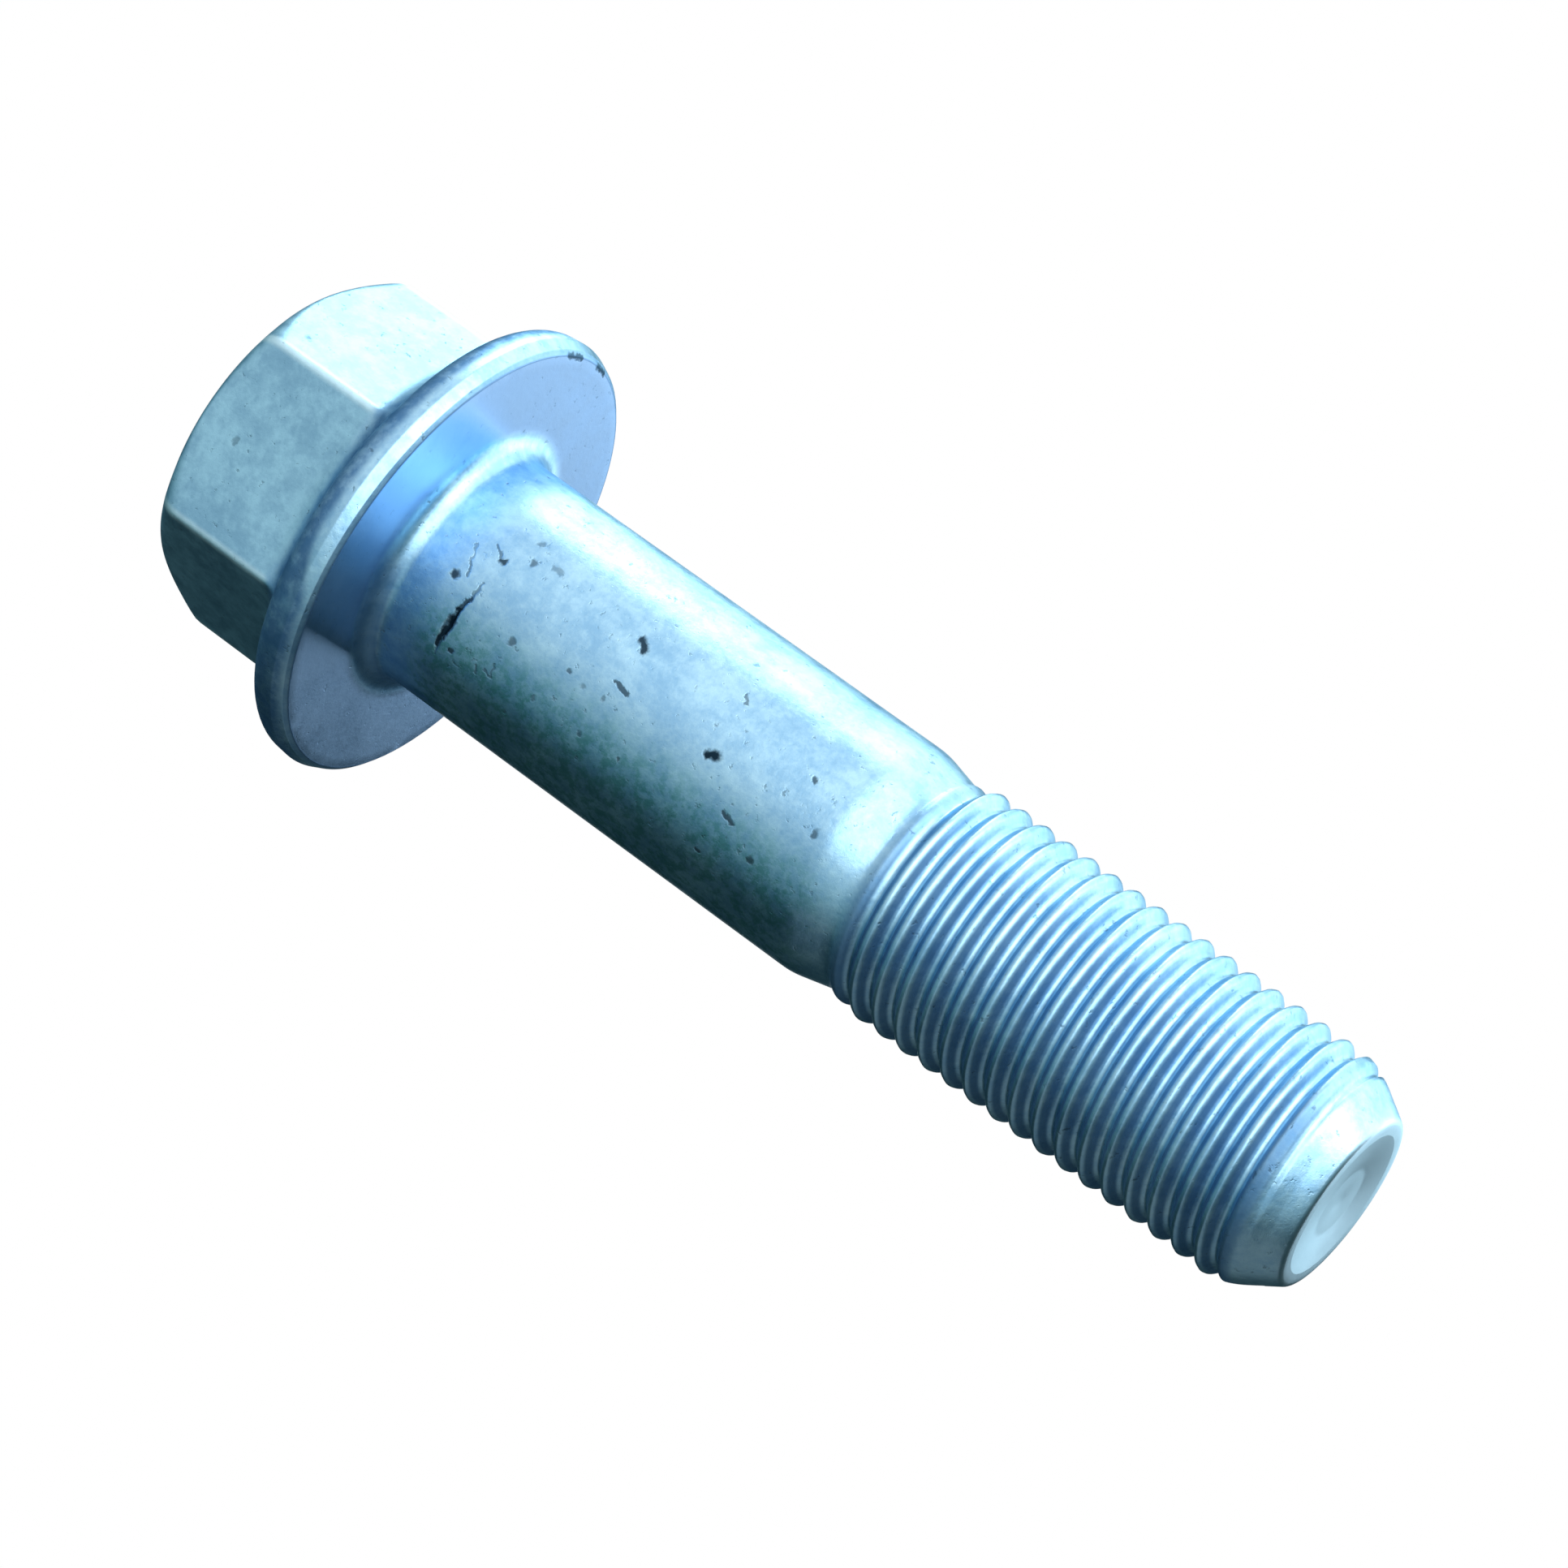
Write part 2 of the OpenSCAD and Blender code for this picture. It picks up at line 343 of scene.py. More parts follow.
def column_angles(per_sector=36, ease=0.35):
    """Angles of the mesh's columns, closer together near the hexagon's corners and at the gouge."""
    half = per_sector // 2
    angles = []
    for sector in range(HEX_SIDES):
        for i in range(-half, half):
            u = i / half
            angles.append(sector * SECTOR + SECTOR / 2 * (ease * u + (1 - ease) * u ** 3))
    first = CAMERA_AZIMUTH + math.radians(GOUGE[0][0]) + math.tau
    last = CAMERA_AZIMUTH + math.radians(GOUGE[-1][0]) + math.tau
    fine = []
    for a, b in zip(angles, angles[1:]):
        fine.append(a)
        if first < a < last:
            steps = math.ceil((b - a) / GOUGE_STEP)
            fine += [a + (b - a) * k / steps for k in range(1, steps)]
    return fine + angles[-1:]


def ripple(angle, r, z, size):
    """Smooth irregular value between 0 and 1 over the surface, with bumps of about a given size."""
    point = Vector((r * math.cos(angle), r * math.sin(angle), z)) / size
    return 0.5 + 0.5 * max(-1, min(1, noise.noise(point)))


def gouge_depth(angle, z):
    """Depth of the gouge at a place on the shank."""
    turn = math.degrees((angle - CAMERA_AZIMUTH) % math.tau)
    height = z - HEAD_HEIGHT
    for (a, za, wa, da), (b, zb, wb, db) in zip(GOUGE, GOUGE[1:]):
        if a <= turn < b:
            k = (turn - a) / (b - a)
            away = abs(height - za - (zb - za) * k) / (wa + (wb - wa) * k)
            return (da + (db - da) * k) * max(0, 1 - away * away)
    return 0


def worn(angle, r, z):
    """Radius after forging ripples and wear, which only take metal away."""
    if z < HEAD_HEIGHT - BEARING_MARGIN:
        depth, size = HEAD_RIPPLE
        return r - depth * ripple(angle, r, z, size) * min(z, 1)
    if abs(r - SHANK_R) < SHANK_MARGIN:
        depth, size = SHANK_RIPPLE
        return r - depth * ripple(angle, r, z, size) - gouge_depth(angle, z)
    return r


def eased_least(a, b, ease):
    """The lesser of two values, with the corner between them rounded off."""
    mix = max(ease - abs(a - b), 0) / ease
    return min(a, b) - mix * mix * ease / 4


def side_r(angle):
    """Radius of the hexagon's side at an angle from a corner, with the corner eased."""
    from_flat = angle % SECTOR - SECTOR / 2
    return eased_least(ACROSS_FLATS / 2 / math.cos(from_flat), CORNER_R, CORNER_EASE)


def corner_arc(before, here, after, radius, steps):
    """Points of the arc that rounds off a corner of a section line."""
    back = (before - here).normalized()
    ahead = (after - here).normalized()
    half = back.angle(ahead) / 2
    reach = radius / math.tan(half)
    start = here + back * reach
    end = here + ahead * reach
    centre = here + (back + ahead).normalized() * radius / math.sin(half)
    arm = start - centre
    turn = arm.angle_signed(end - centre)
    arc = []
    for k in range(steps + 1):
        a = -turn * k / steps
        x = arm.x * math.cos(a) - arm.y * math.sin(a)
        y = arm.x * math.sin(a) + arm.y * math.cos(a)
        arc.append(centre + Vector((x, y)))
    return start, end, arc


def rounded(corners, spans):
    """Section line through corners (r, z, radius, arc steps), with arcs there and even steps between them."""
    points = []
    previous_end = Vector(corners[0][:2])
    for i in range(1, len(corners)):
        r, z, radius, steps = corners[i]
        here = Vector((r, z))
        if i < len(corners) - 1 and radius > 0:
            before = Vector(corners[i - 1][:2])
            after = Vector(corners[i + 1][:2])
            start, end, arc = corner_arc(before, here, after, radius, steps)
        else:
            start, end, arc = here, here, [here]
        count = spans[i - 1]
        points += [previous_end.lerp(start, k / count) for k in range(1, count)]
        points += arc
        previous_end = end
    return points


def flange_back_z(r):
    """Height of the sloping back of the flange at a radius."""
    slope_top_r = FLANGE_R - RIM_ROUND + RIM_ROUND * math.sin(FLANGE_SLOPE)
    slope_top_z = RIM_Z - RIM_ROUND * math.cos(FLANGE_SLOPE)
    return slope_top_z - (slope_top_r - r) * math.tan(FLANGE_SLOPE)


def head_section(angle):
    """Section of the bolt at one angle, from the middle of the head's top face to the foot of the thread."""
    side = side_r(angle)
    chamfer_z = max(side - TOP_FLAT_R, LEAST_CHAMFER) * math.tan(TOP_CHAMFER)
    side_edge = SIDE_EDGE + SIDE_EDGE_GROWTH * (side - ACROSS_FLATS / 2)
    rim_r = FLANGE_R - RIM_INSET
    edge_r = FLANGE_R - RIM_DRAFT
    line = rounded([
        (0, 0, 0, 0),
        (TOP_FLAT_R, 0, TOP_EDGE, 3),
        (side, chamfer_z, side_edge, 5),
        (side, flange_back_z(side), NECK_FILLET, 8),
        (rim_r, flange_back_z(rim_r), RIM_ROUND, 8),
        (FLANGE_R, HEAD_HEIGHT - BAND_HEIGHT, BAND_ROUND, 3),
        (edge_r, HEAD_HEIGHT - EDGE_HEIGHT, EDGE_ROUND, 3),
        (edge_r - EDGE_WIDTH, HEAD_HEIGHT, EDGE_ROUND, 3),
        (SHANK_R, HEAD_HEIGHT, UNDER_HEAD_FILLET, 10),
        (SHANK_R, HEAD_HEIGHT + GOUGE_BAND[0], 0, 0),
        (SHANK_R, HEAD_HEIGHT + GOUGE_BAND[1], 0, 0),
        (SHANK_R, SHANK_END_Z, SHANK_END_ROUND, 6),
        (PITCH_R, THREAD_Z, 0, 0),
    ], SECTION_STEPS)
    return [(worn(angle, r, z), z) for r, z in line]


def chamfer_r(z):
    """Radius of the end chamfer at a height."""
    return END_FLAT_R + (END_Z - z) * math.tan(END_CHAMFER)


def thread_point(angle, index):
    """Radius and height of one helical row of the thread at an angle."""
    share = THREAD_ROWS[index % len(THREAD_ROWS)]
    depth = 0.5 - 0.5 * math.cos(math.tau * share)
    turn = (angle - THREAD_START) / math.tau + index // len(THREAD_ROWS) - SPARE_TURNS + share
    z = THREAD_Z + turn * PITCH
    rise = min(max((z - THREAD_Z) / THREAD_RISE, 0), 1)
    r = PITCH_R + (CREST_R - THREAD_DEPTH * depth - PITCH_R) * rise
    worn_depth, size = THREAD_RIPPLE
    lead_r = eased_least(chamfer_r(z), CREST_R, END_LEAD)
    return min(r, lead_r) - worn_depth * ripple(angle, r, z, size) * rise, z


def end_section(edge_z):
    """Section from the foot of the end chamfer's rounded edge to the middle of the dished end."""
    line = rounded([
        (chamfer_r(edge_z), edge_z, 0, 0),
        (END_FLAT_R, END_Z, END_EDGE, 5),
        (DISH_EDGE_R, END_Z, DISH_EDGE_ROUND, 4),
        (DISH_FLOOR_R, END_Z - DISH_FLOOR_DEPTH, DISH_FLOOR_ROUND, 6),
        (0, END_Z - END_DISH, 0, 0),
    ], END_STEPS)
    return line[:-1]


class Skin:
    """Points and faces of a mesh that is built from rings round the bolt's axis."""

    def __init__(self, angles):
        self.angles = angles
        self.verts = []
        self.faces = []

    def point(self, angle, r, z):
        """Add a point and return its number."""
        self.verts.append((r * math.cos(angle) * MM, r * math.sin(angle) * MM, z * MM))
        return len(self.verts) - 1

    def ring(self, places):
        """Add a ring with a radius and height for each angle, and return its points' numbers."""
        return [self.point(angle, r, z) for angle, (r, z) in zip(self.angles, places)]

    def join(self, rings):
        """Add the faces between each ring and the next."""
        for a, b in zip(rings, rings[1:]):
            for i in range(len(a)):
                j = (i + 1) % len(a)
                self.faces.append((a[i], a[j], b[j], b[i]))

    def face(self, corners):
        """Add a face, without the corners that repeat."""
        kept = []
        for corner in corners:
            if corner not in kept:
                kept.append(corner)
        if len(kept) > 2:
            self.faces.append(tuple(kept))


def add_head(skin):
    """Head, flange and shank; returns the ring that the thread starts from."""
    sections = [head_section(angle) for angle in skin.angles]
    middle = skin.point(0, 0, 0)
    rings = [skin.ring([section[k] for section in sections]) for k in range(len(sections[0]))]
    first = rings[0]
    for i in range(len(first)):
        skin.faces.append((middle, first[(i + 1) % len(first)], first[i]))
    skin.join(rings)
    return rings[-1]


def add_thread(skin, start_ring, end_ring, edge_z):
    """Helical rows between two rings; rows beyond either end share that end's ring."""
    per_turn = len(THREAD_ROWS)
    row_count = per_turn * (math.ceil((END_Z - THREAD_Z) / PITCH) + 2 * SPARE_TURNS)
    columns = []
    for i, angle in enumerate(skin.angles):
        column = []
        for m in range(row_count + per_turn + 1):
            r, z = thread_point(angle, m)
            if z < THREAD_Z + ROW_GAP:
                column.append(start_ring[i])
            elif z > edge_z - ROW_GAP:
                column.append(end_ring[i])
            else:
                column.append(skin.point(angle, r, z))
        columns.append(column)
    for i, column in enumerate(columns):
        j = (i + 1) % len(columns)
        shift = per_turn if j == 0 else 0
        for m in range(row_count):
            n = m + shift
            skin.face((column[m], columns[j][n], columns[j][n + 1], column[m + 1]))


def add_end(skin, end_ring, edge_z):
    """Rounded edge and dished face of the threaded end."""
    count = len(skin.angles)
    rings = [end_ring] + [skin.ring([place] * count) for place in end_section(edge_z)]
    skin.join(rings)
    last = rings[-1]
    middle = skin.point(0, 0, END_Z - END_DISH)
    for i in range(count):
        skin.faces.append((middle, last[i], last[(i + 1) % count]))


def build_bolt():
    """One closed mesh of the whole bolt, with a true helical thread."""
    skin = Skin(column_angles())
    edge_z = END_Z - 2 * END_EDGE
    start_ring = add_head(skin)
    end_ring = skin.ring([(chamfer_r(edge_z), edge_z)] * len(skin.angles))
    add_thread(skin, start_ring, end_ring, edge_z)
    add_end(skin, end_ring, edge_z)
    mesh = bpy.data.meshes.new("bolt")
    mesh.from_pydata(skin.verts, [], skin.faces)
    mesh.validate()
    mesh.polygons.foreach_set("use_smooth", [True] * len(mesh.polygons))
    mesh.update()
    bolt = bpy.data.objects.new("bolt", mesh)
    bpy.context.collection.objects.link(bolt)
    weighted = bolt.modifiers.new("weighted_normals", "WEIGHTED_NORMAL")
    weighted.weight = NORMAL_WEIGHT
    return bolt


class Graph:
    """Small helper for building a material's node tree."""

    def __init__(self, material):
        material.use_nodes = True
        self.nodes = material.node_tree.nodes
        self.links = material.node_tree.links

    def put(self, socket, value):
        """Link a socket to another one, or set it to a value."""
        if isinstance(value, bpy.types.NodeSocket):
            self.links.new(value, socket)
        elif value is not None:
            socket.default_value = value

    def math(self, operation, a, b=None):
        node = self.nodes.new("ShaderNodeMath")
        node.operation = operation
        self.put(node.inputs[0], a)
        self.put(node.inputs[1], b)
        return node.outputs[0]

    def product(self, first, *others):
        for other in others:
            first = self.math("MULTIPLY", first, other)
        return first

    def most(self, first, *others):
        for other in others:
            first = self.math("MAXIMUM", first, other)
        return first

    def weighted(self, first, *shares):
        """A value plus others times their shares."""
        for value, share in shares:
            first = self.math("ADD", first, self.math("MULTIPLY", value, share))
        return first

    def vector(self, operation, a, b=None, scale=None):
        node = self.nodes.new("ShaderNodeVectorMath")
        node.operation = operation
        self.put(node.inputs[0], a)
        self.put(node.inputs[1], b)
        if scale is not None:
            self.put(node.inputs["Scale"], scale)
        return node.outputs["Value" if operation in ("DISTANCE", "LENGTH", "DOT_PRODUCT") else "Vector"]

    def ramp(self, value, span, start=0.0, end=1.0, smooth=True):
        """Change from one number to another while a value goes from one end of a span to the other."""
        node = self.nodes.new("ShaderNodeMapRange")
        node.interpolation_type = "SMOOTHSTEP" if smooth else "LINEAR"
        node.clamp = not smooth
        self.put(node.inputs["Value"], value)
        numbers = {"From Min": span[0], "From Max": span[1], "To Min": start, "To Max": end}
        for name, number in numbers.items():
            node.inputs[name].default_value = number
        return node.outputs["Result"]

    def noise(self, vector, texture):
        node = self.nodes.new("ShaderNodeTexNoise")
        self.put(node.inputs["Vector"], vector)
        for name, number in zip(("Scale", "Detail", "Roughness"), texture):
            node.inputs[name].default_value = number
        return node.outputs["Fac"]

    def from_stroke(self, point, start, end):
        """Distance of a point from the straight line between two ends."""
        run = end - start
        if run.length < SHORT_STROKE:
            return self.vector("DISTANCE", point, (start + end) / 2)
        offset = self.vector("SUBTRACT", point, start)
        share = self.vector("DOT_PRODUCT", offset, run / run.length_squared)
        share = self.math("MINIMUM", self.math("MAXIMUM", share, 0), 1)
        nearest = self.vector("SCALE", run, scale=share)
        return self.vector("LENGTH", self.vector("SUBTRACT", offset, nearest))

    def mix(self, factor, a, b):
        node = self.nodes.new("ShaderNodeMix")
        node.data_type = "RGBA"
        self.put(node.inputs["Factor"], factor)
        self.put(node.inputs["A"], a)
        self.put(node.inputs["B"], b)
        return node.outputs["Result"]


def surface_places(g):
    """Places on the bolt that the plating is drawn by, in millimetres and radians, and the broad textures."""
    at = SimpleNamespace()
    coords = g.nodes.new("ShaderNodeTexCoord")
    at.point = g.vector("SCALE", coords.outputs["Object"], scale=1 / MM)
    parts = g.nodes.new("ShaderNodeSeparateXYZ")
    g.put(parts.inputs[0], at.point)
    x, y, at.z = parts.outputs
    at.radius = g.vector("LENGTH", g.vector("MULTIPLY", at.point, (1, 1, 0)))
    at.turn = g.math("ARCTAN2", y, x)
    unrolled = g.nodes.new("ShaderNodeCombineXYZ")
    g.put(unrolled.inputs[0], g.math("MULTIPLY", at.turn, SHANK_R))
    g.put(unrolled.inputs[1], at.z)
    at.cloud = g.noise(at.point, CLOUD)
    at.grain = g.noise(at.point, GRAIN)
    wobble = g.nodes.new("ShaderNodeTexNoise")
    g.put(wobble.inputs["Vector"], at.point)
    wobble.inputs["Scale"].default_value = WOBBLE_SCALE
    offset = g.vector("SUBTRACT", wobble.outputs["Color"], (0.5, 0.5, 0.5))
    offset = g.vector("SCALE", offset, scale=WOBBLE)
    at.loose_unrolled = g.vector("ADD", unrolled.outputs[0], g.vector("MULTIPLY", offset, (1, 1, 0)))
    at.loose = g.vector("ADD", at.point, offset)
    at.aside = g.vector("DOT_PRODUCT", at.point, ASIDE)
    return at


def on_shank(turn, height):
    """Place on the unrolled shank, from an angle from the view and a height over the bearing face."""
    return Vector(((CAMERA_AZIMUTH + math.radians(turn)) * SHANK_R, HEAD_HEIGHT + height, 0))


def on_head(turn, reach, height):
    """Place on the head, from an angle from the view, a radius and a height over the bearing face."""
    angle = CAMERA_AZIMUTH + math.radians(turn)
    return Vector((reach * math.cos(angle), reach * math.sin(angle), HEAD_HEIGHT + height))


def shank_strokes():
    """Strokes that draw the nicks on the shank and the gouge."""
    strokes = list(NICKS)
    for (a, za, wa, da), (b, zb, wb, db) in zip(GOUGE, GOUGE[1:]):
        dark = min(1, GOUGE_DARK + GOUGE_DARKENING * min(da, db))
        strokes.append((a, za, b, zb, GOUGE_WIDTH * (wa + wb), dark))
    return strokes


def nick_mask(g, at):
    """Darkness of the nicks and the gouge, each joined to the others as soon as it is drawn."""
    marks = 0
    for turn_a, height_a, turn_b, height_b, half_width, dark in shank_strokes():
        away = g.from_stroke(at.loose_unrolled, on_shank(turn_a, height_a), on_shank(turn_b, height_b))
        spot = g.ramp(away, (half_width * NICK_CORE, half_width * NICK_REACH), dark, 0)
        marks = g.most(marks, spot)
    for turn_a, turn_b, reach, height, half_width, dark in HEAD_NICKS:
        away = g.from_stroke(at.loose, on_head(turn_a, reach, height), on_head(turn_b, reach, height))
        spot = g.ramp(away, (half_width * NICK_CORE, half_width * HEAD_NICK_REACH), dark, 0)
        marks = g.most(marks, spot)
    return marks


def speck_mask(g, at):
    """Darkness of scattered specks and of finer flecks."""
    cells = g.nodes.new("ShaderNodeTexVoronoi")
    g.put(cells.inputs["Vector"], at.loose)
    cells.inputs["Scale"].default_value = SPECK_SCALE
    chance = g.nodes.new("ShaderNodeSeparateColor")
    g.put(chance.inputs[0], cells.outputs["Color"])
    size = g.ramp(chance.outputs[0], SPECK_CHANCE, 0.0, SPECK_SIZE, smooth=False)
    beyond = g.math("SUBTRACT", cells.outputs["Distance"], size)
    specks = g.ramp(beyond, (-SPECK_SOFTNESS, 0.0), SPECK_DARK, 0)
    flecks = g.ramp(g.noise(at.point, FLECKS), FLECK_LEVELS, 0, FLECK_DARK)
    return g.most(specks, flecks)


def painted_shade_mask(g, at):
    """Painted shade in the neck all round, climbing the rim on the side away from the light, in the fillet on
    that side and on the thread's flanks, strongest on that side, and a darker band on the bearing face's
    broken edge.
    """
    # The painted shade climbs the rim on the side away from the light
    climbed_z = g.math("SUBTRACT", at.z, g.ramp(at.aside, RIM_ASIDE, 0, RIM_CLIMB))
    neck = g.product(
        g.ramp(at.z, NECK_START_Z),
        g.ramp(climbed_z, NECK_END_Z, 1, 0),
        g.ramp(g.noise(at.point, NECK_PATCHES), NECK_LEVELS, NECK_LEAST, 1),
    )
    fillet = g.product(
        g.ramp(at.radius, FILLET_START_R),
        g.ramp(at.radius, FILLET_END_R, 1, 0),
        g.ramp(at.z, FILLET_Z),
        g.ramp(at.aside, FILLET_ASIDE, 0, FILLET_SHADE),
    )
    edge = g.product(g.ramp(at.z, EDGE_Z), g.ramp(at.radius, EDGE_R, 0, EDGE_DARKENING))
    flanks = g.product(
        g.ramp(at.radius, FLANK_START_R),
        g.ramp(at.radius, FLANK_END_R, FLANK_SHADE, 0),
        g.ramp(at.aside, FLANK_ASIDE, FLANK_LEAST, 1),
        g.ramp(at.z, FLANK_START_Z),
        g.ramp(at.z, FLANK_END_Z, 1, 0),
    )
    return g.most(neck, flanks, fillet, edge)


def teal_shade_mask(g, at):
    """Patchy teal painted shade low on the plain shank, on the side away from the light."""
    return g.product(
        g.ramp(g.noise(at.point, TEAL_SHADE_PATCHES), TEAL_SHADE_LEVELS),
        g.ramp(at.aside, TEAL_SHADE_ASIDE, 0, TEAL_SHADE),
        g.ramp(at.z, TEAL_SHADE_START_Z),
        g.ramp(at.z, TEAL_SHADE_END_Z, 1, 0),
    )


def zinc_material():
    """Worn blue-white zinc plate: mottled and pitted, with painted shade that is dark and dull, teal painted
    shade low on the shank and worn corners lightened as a painted highlight.
    """
    material = bpy.data.materials.new("zinc_plate")
    g = Graph(material)
    shader = g.nodes["Principled BSDF"]
    at = surface_places(g)
    nicks = nick_mask(g, at)
    end = g.product(g.ramp(at.radius, END_FACE_R, 1, 0), g.ramp(at.z, END_FACE_Z))
    bearing = g.product(g.ramp(at.radius, BEARING_R), g.ramp(at.z, BEARING_Z))
    unclean = g.math("SUBTRACT", 1, g.most(end, g.product(bearing, BEARING_CLEAN)))
    marks = g.most(nicks, g.product(speck_mask(g, at), unclean))
    # Painted shade in the neck, up the rim, in the fillet and on the flanks, and a darker band on the
    # bearing's edge
    painted_shade = painted_shade_mask(g, at)
    hexagon = g.ramp(at.z, HEXAGON_END_Z, 1, 0)
    from_corner = g.product(g.math("PINGPONG", at.turn, SECTOR / 2), CORNER_AT_R)
    # The hexagon's worn corners, lightened as a painted highlight
    corner = g.product(g.ramp(from_corner, CORNER_WIDTH, CORNER_WEAR_AND_SHEEN, 0), hexagon)

    tone = g.weighted(g.product(at.cloud, CLOUD_TONE), (at.grain, GRAIN_TONE),
                      (g.noise(at.point, MOTTLE), MOTTLE_TONE))
    light = g.ramp(tone, COLOUR_TONES)
    colour = g.mix(hexagon, g.mix(light, *SHANK_COLOURS), g.mix(light, *HEXAGON_COLOURS))
    # Worn corners lighter, as a painted highlight
    colour = g.mix(corner, colour, CORNER_WEAR_AND_SHEEN_COLOUR)
    colour = g.mix(g.product(bearing, BEARING_TINT), colour, BEARING_COLOUR)
    # Tint the shank's side away from the light with teal painted shade
    colour = g.mix(teal_shade_mask(g, at), colour, TEAL_SHADE_COLOUR)
    colour = g.mix(end, colour, END_COLOUR)
    # Darken the colour with the painted shade
    colour = g.mix(g.product(painted_shade, SHADE_STRENGTH), colour, SHADE_COLOUR)
    colour = g.mix(marks, colour, MARK_COLOUR)
    g.put(shader.inputs["Base Color"], colour)
    shader.inputs["Metallic"].default_value = 1.0
    shader.inputs["Specular Tint"].default_value = SPECULAR_TINT
    # Roughness also rises on the worn corners and under the painted shade and the marks
    rough = g.weighted(g.ramp(tone, ROUGH_TONES, *ROUGHNESS), (hexagon, HEXAGON_ROUGH),
                       (corner, CORNER_ROUGH), (g.most(painted_shade, marks), SHADE_ROUGH))
    g.put(shader.inputs["Roughness"], rough)

    uneven = g.weighted(g.product(at.grain, GRAIN_HEIGHT), (at.cloud, CLOUD_HEIGHT))
    uneven = g.product(uneven, g.weighted(CLEAN_UNEVEN, (unclean, 1 - CLEAN_UNEVEN)))
    bump = g.nodes.new("ShaderNodeBump")
    bump.inputs["Strength"].default_value = BUMP_STRENGTH
    bump.inputs["Distance"].default_value = BUMP_DISTANCE
    g.put(bump.inputs["Height"], g.math("SUBTRACT", uneven, marks))
    g.put(shader.inputs["Normal"], bump.outputs["Normal"])
    return material


def place(reach, aside, height):
    """Point given by its distances towards the camera, across the view and up, in millimetres."""
    return (TOWARDS_CAMERA * reach + ASIDE * aside + UP * height) * MM


def add_camera():
    """Camera at the photograph's viewing angle, rolled as the photograph is."""
    data = bpy.data.cameras.new("camera")
    data.angle = CAMERA_ANGLE
    data.clip_start = CAMERA_CLIP
    camera = bpy.data.objects.new("camera", data)
    bpy.context.collection.objects.link(camera)
    up = ASIDE.cross(AHEAD)
    turned_right = math.cos(CAMERA_ROLL) * ASIDE + math.sin(CAMERA_ROLL) * up
    turned_up = -math.sin(CAMERA_ROLL) * ASIDE + math.cos(CAMERA_ROLL) * up
    matrix = camera.matrix_world.to_3x3()
    for k, axis in enumerate((turned_right, turned_up, -AHEAD)):
        matrix.col[k] = axis
    camera.matrix_world = matrix.to_4x4()
    camera.location = place(CAMERA_REACH, CAMERA_ASIDE, CAMERA_HEIGHT)
    bpy.context.scene.camera = camera


def add_floor():
    """Pale round plinth under the head, flat on top."""
    turns = [math.tau * k / PLINTH_SIDES for k in range(PLINTH_SIDES)]
    points = [place(PLINTH_R * math.cos(t), PLINTH_R * math.sin(t), 0) for t in turns]
    mesh = bpy.data.meshes.new("floor")
    mesh.from_pydata(points, [], [tuple(range(PLINTH_SIDES))])
    floor = bpy.data.objects.new("floor", mesh)
    bpy.context.collection.objects.link(floor)
    material = bpy.data.materials.new("floor")
    material.use_nodes = True
    shader = material.node_tree.nodes["Principled BSDF"]
    shader.inputs["Base Color"].default_value = PLINTH_COLOUR
    shader.inputs["Roughness"].default_value = PLINTH_ROUGHNESS
    shader.inputs["Specular IOR Level"].default_value = PLINTH_SPECULAR
    floor.data.materials.append(material)


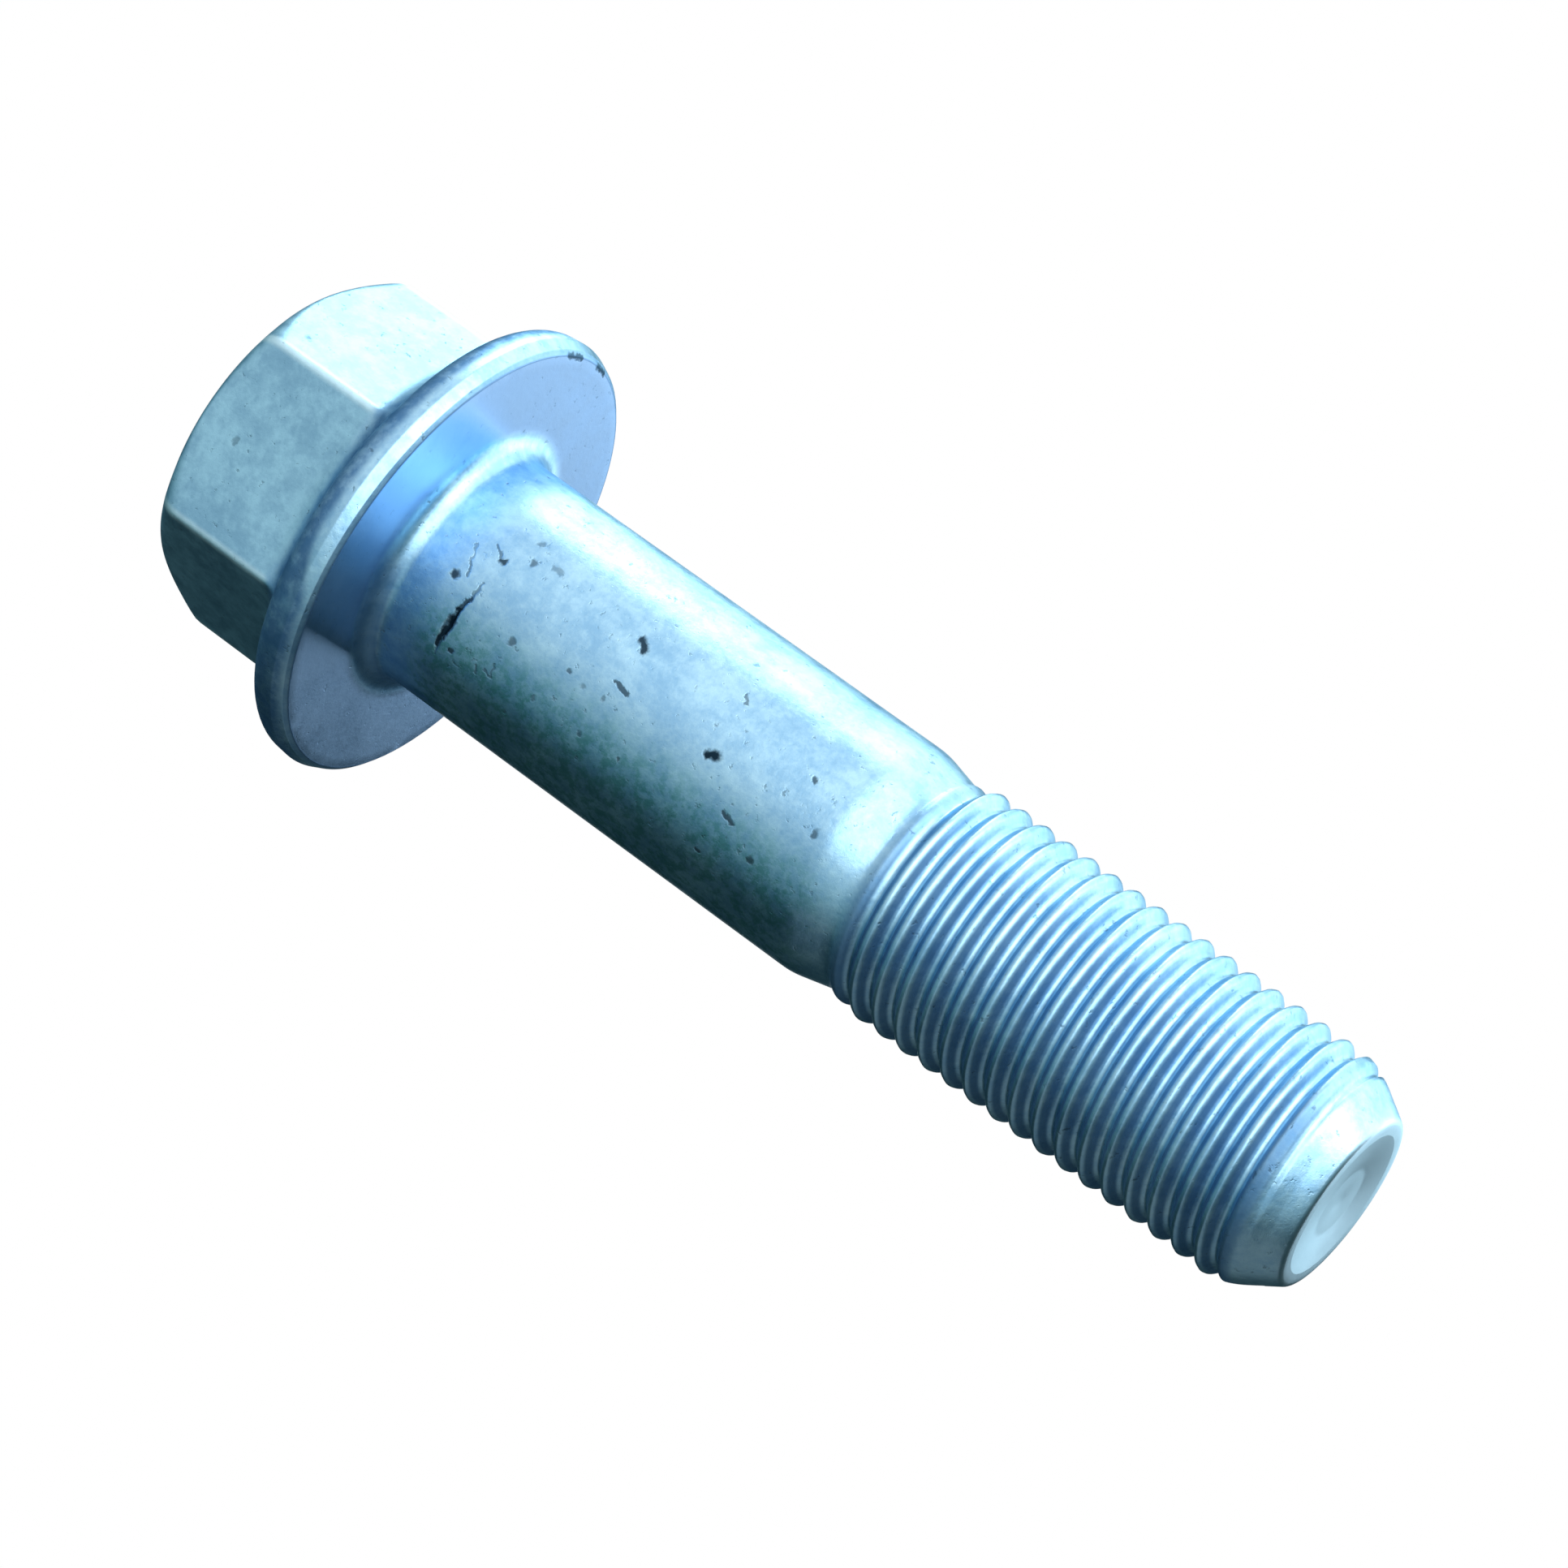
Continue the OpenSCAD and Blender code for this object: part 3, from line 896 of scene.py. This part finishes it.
def add_softbox(name, azimuth, elevation, distance, width, tall, radiance, target):
    """Area light aimed at the bolt, placed by its azimuth from the camera towards ASIDE, in degrees."""
    data = bpy.data.lights.new(name, "AREA")
    data.shape = "RECTANGLE"
    data.size = width * MM
    data.size_y = tall * MM
    data.energy = radiance * math.pi * width * tall * MM * MM
    light = bpy.data.objects.new(name, data)
    bpy.context.collection.objects.link(light)
    across = distance * math.cos(math.radians(elevation))
    rise = distance * math.sin(math.radians(elevation))
    turn = math.radians(azimuth)
    light.location = place(across * math.cos(turn), across * math.sin(turn), target + rise)
    aim = place(0, 0, target) - light.location
    light.rotation_euler = aim.to_track_quat("-Z", "Y").to_euler()


def world_ramp(tree, direction, low, high, stops):
    """Colours of the world that change along a direction."""
    coords = tree.nodes.new("ShaderNodeTexCoord")
    along = tree.nodes.new("ShaderNodeVectorMath")
    along.operation = "DOT_PRODUCT"
    along.inputs[1].default_value = direction
    tree.links.new(coords.outputs["Generated"], along.inputs[0])
    remap = tree.nodes.new("ShaderNodeMapRange")
    remap.inputs["From Min"].default_value = low
    remap.inputs["From Max"].default_value = high
    tree.links.new(along.outputs["Value"], remap.inputs["Value"])
    colours = tree.nodes.new("ShaderNodeValToRGB")
    elements = colours.color_ramp.elements
    while len(elements) < len(stops):
        elements.new(0.5)
    for element, (position, colour) in zip(elements, stops):
        element.position = position
        element.color = (*colour, 1)
    tree.links.new(remap.outputs["Result"], colours.inputs["Fac"])
    return colours.outputs["Color"]


def add_world():
    """Soft room: light on the side that the photograph's light comes from, dim on the other, white behind."""
    world = bpy.data.worlds.new("room")
    bpy.context.scene.world = world
    world.use_nodes = True
    tree = world.node_tree
    tilt = ROOM_TILT[0] * TOWARDS_CAMERA + ROOM_TILT[1] * ASIDE + ROOM_TILT[2] * UP
    room = world_ramp(tree, tilt, -ROOM_LEVEL, ROOM_TOP - ROOM_LEVEL, ROOM_COLOURS)
    white = world_ramp(tree, AHEAD, math.cos(WHITE_START), math.cos(WHITE_FULL), WHITE_COLOURS)
    both = tree.nodes.new("ShaderNodeMix")
    both.data_type = "RGBA"
    both.blend_type = "LIGHTEN"
    both.inputs["Factor"].default_value = 1
    tree.links.new(room, both.inputs["A"])
    tree.links.new(white, both.inputs["B"])
    tree.links.new(both.outputs["Result"], tree.nodes["Background"].inputs["Color"])


add_camera()
bolt = build_bolt()
bolt.data.materials.append(zinc_material())
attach(bolt, "root")
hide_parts("flange_bolt")
add_floor()
for name, setting in SOFTBOXES.items():
    add_softbox(name, *setting)
add_world()
bpy.context.scene.view_settings.view_transform = "Standard"
